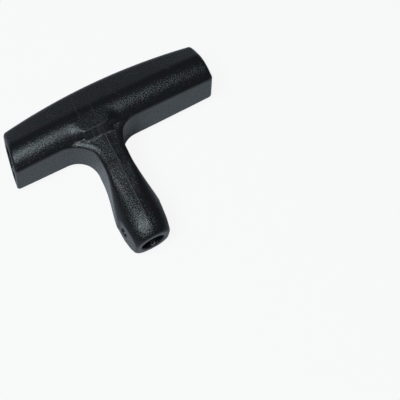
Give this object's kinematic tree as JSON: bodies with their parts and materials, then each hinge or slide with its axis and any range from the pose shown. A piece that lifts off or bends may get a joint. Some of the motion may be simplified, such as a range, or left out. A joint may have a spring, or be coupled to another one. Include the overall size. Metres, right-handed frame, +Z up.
{
  "type": "recoil starter handle",
  "caption": "Hollow T-shaped pull handle: a bowed, ridged crossbar open at both ends, and a stem that swells into a bored bulb for the starter rope.",
  "frame": {"origin": "centre of the bounding box at its base, where the handle lies on a table on its back", "axes": "+X along the crossbar to its longer arm, +Y from the rope's mouth to the palm side, +Z up out of the pictured side"},
  "size_m": [0.0902, 0.0712, 0.0269],
  "materials": {
    "black_plastic": "fine grained moulded black plastic"
  },
  "bodies": {
    "root": {"handle": "black_plastic"}
  },
  "joints": []
}
